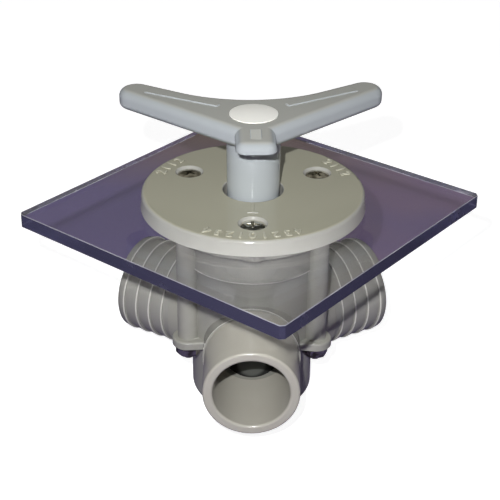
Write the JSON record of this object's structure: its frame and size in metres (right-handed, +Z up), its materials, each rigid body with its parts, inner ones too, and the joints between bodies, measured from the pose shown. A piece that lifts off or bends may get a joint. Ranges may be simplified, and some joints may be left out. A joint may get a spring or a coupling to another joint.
{
  "type": "three-way diverter valve",
  "caption": "Panel-mounted rotary valve that joins two hose ports and shuts the third; a star handle turns its rubber-faced rotor.",
  "frame": {"origin": "on the spindle axis at the flat underside of the body", "axes": "+Z up along the spindle, -Y out of the smooth front port, +X to the right seen from the front port"},
  "size_m": [0.1902, 0.1902, 0.1321],
  "materials": {
    "body_plastic": "moulded, glossy, warm grey",
    "seal_rubber": "matt black",
    "bush_plastic": "natural acetal",
    "panel_acrylic": "tinted clear sheet, polished",
    "fastener_steel": "stainless, bright",
    "insert_brass": "turned",
    "rotor_plastic": "charcoal moulding",
    "handle_plastic": "moulded, glossy, blue grey",
    "cap_plastic": "moulded, off white"
  },
  "bodies": {
    "body": {"valve_body": "body_plastic", "front_spigot": "body_plastic", "left_hose_tail": "body_plastic", "right_hose_tail": "body_plastic", "bonnet": "body_plastic", "bonnet_o_ring": "seal_rubber", "stem_o_rings": "seal_rubber", "upper_bush": "bush_plastic", "lower_bush": "bush_plastic", "panel_gasket": "seal_rubber", "mounting_panel": "panel_acrylic", "faceplate_gasket": "seal_rubber", "faceplate": "body_plastic", "faceplate_screws": "fastener_steel", "thread_inserts": "insert_brass", "body_screws": "fastener_steel", "lock_washers": "fastener_steel", "hex_nuts": "fastener_steel", "thrust_washer": "bush_plastic"},
    "handle_and_rotor": {"spindle": "fastener_steel", "retaining_ring": "fastener_steel", "rotor": "rotor_plastic", "drive_pin": "fastener_steel", "port_seal": "seal_rubber", "seal_retainer": "fastener_steel", "seal_screw": "fastener_steel", "handle": "handle_plastic", "handle_washer": "fastener_steel", "handle_screw": "fastener_steel", "handle_cap": "cap_plastic"}
  },
  "joints": [
    {"name": "handle_turn", "type": "hinge", "parent": "body", "child": "handle_and_rotor", "pos_m": [0, 0, 0.0339], "axis": [0, 0, 1], "continuous": true}
  ]
}
